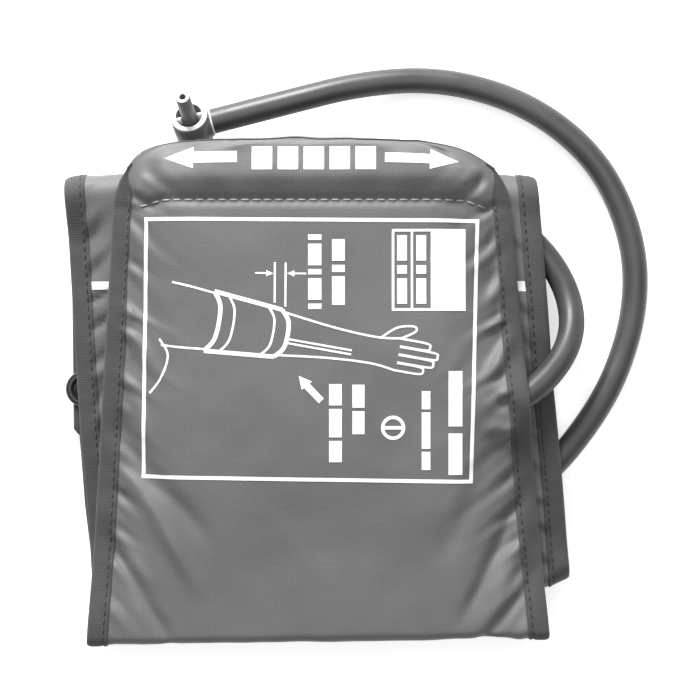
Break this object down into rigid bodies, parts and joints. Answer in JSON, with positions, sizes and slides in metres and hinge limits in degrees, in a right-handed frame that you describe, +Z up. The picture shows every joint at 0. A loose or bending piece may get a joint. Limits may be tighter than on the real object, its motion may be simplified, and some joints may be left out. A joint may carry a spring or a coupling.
{
  "type": "blood pressure cuff",
  "caption": "Folded arm cuff of bound nylon with bladder, hook and loop closure, D-ring, air hose and swivel elbow plug.",
  "frame": {"origin": "on the table, at the middle of the folded cuff's underside", "axes": "+Z up from the table, +Y from the folded edge towards the loose end of the tail flap, +X to the side where the hose leaves"},
  "size_m": [0.2081, 0.2017, 0.0332],
  "materials": {
    "nylon_cover": "dark grey coated nylon, satin",
    "nylon_lining": "dark grey nylon, matte",
    "binding_tape": "ribbed dark grey binding tape",
    "felt": "white needled felt",
    "loop_pile": "brushed loop pile",
    "hook_tape": "moulded hook tape",
    "bladder_film": "smooth sheet",
    "hose_rubber": "smooth dark grey, satin",
    "port_rubber": "moulded, satin",
    "plug_plastic": "moulded grey plastic, worn pale rims",
    "ring_wire": "glossy black coated wire",
    "stiffener_plastic": "thin sheet"
  },
  "bodies": {
    "cuff_body": {"air_hose": "hose_rubber", "base_binding_left": "binding_tape", "base_binding_right": "binding_tape", "base_cover": "nylon_cover", "base_lining": "nylon_lining", "bladder_inner_sheet": "bladder_film", "bladder_outer_sheet": "bladder_film", "end_fold_band": "nylon_cover", "end_fold_bindings": "binding_tape", "inner_binding_left": "binding_tape", "inner_binding_right": "binding_tape", "inner_cover": "nylon_cover", "inner_lining": "nylon_lining", "loop_pile_patch": "loop_pile", "port_elbow": "port_rubber", "port_flange": "port_rubber", "ring_end_bindings": "binding_tape", "ring_end_panel": "nylon_cover", "ring_sleeve": "nylon_cover", "top_fold_bindings": "binding_tape", "top_fold_cover": "nylon_cover", "top_fold_lining": "nylon_lining"},
    "flap_wall": {"wall_cover": "nylon_cover", "wall_padding": "felt", "wall_lining": "nylon_lining", "wall_bindings": "binding_tape"},
    "tail_flap": {"flap_cover": "nylon_cover", "flap_padding": "felt", "flap_lining": "nylon_lining", "flap_binding_left": "binding_tape", "flap_binding_right": "binding_tape", "flap_end_hem": "nylon_cover", "hem_stiffener": "stiffener_plastic", "hook_patch": "hook_tape"},
    "plug": {"plug_body": "plug_plastic", "plug_end_cap": "plug_plastic", "plug_nozzle": "plug_plastic", "plug_barb": "plug_plastic"},
    "d_ring": {"d_ring": "ring_wire"}
  },
  "joints": [
    {"name": "wall_fold", "type": "hinge", "parent": "cuff_body", "child": "flap_wall", "pos_m": [0, -0.0842, 0.0014], "axis": [1, 0, 0], "range_deg": [0, 90]},
    {"name": "flap_fold", "type": "hinge", "parent": "flap_wall", "child": "tail_flap", "pos_m": [0, -0.0842, 0.0318], "axis": [1, 0, 0], "range_deg": [0, 90]},
    {"name": "plug_swivel", "type": "hinge", "parent": "cuff_body", "child": "plug", "pos_m": [-0.03644, 0.09635, 0.0105], "axis": [0.9681, 0.2504, 0], "range_deg": [-60, 25]},
    {"name": "ring_swing", "type": "hinge", "parent": "cuff_body", "child": "d_ring", "pos_m": [-0.0054, -0.0036, 0.0053], "axis": [1, 0, 0], "range_deg": [-3, 7]}
  ]
}
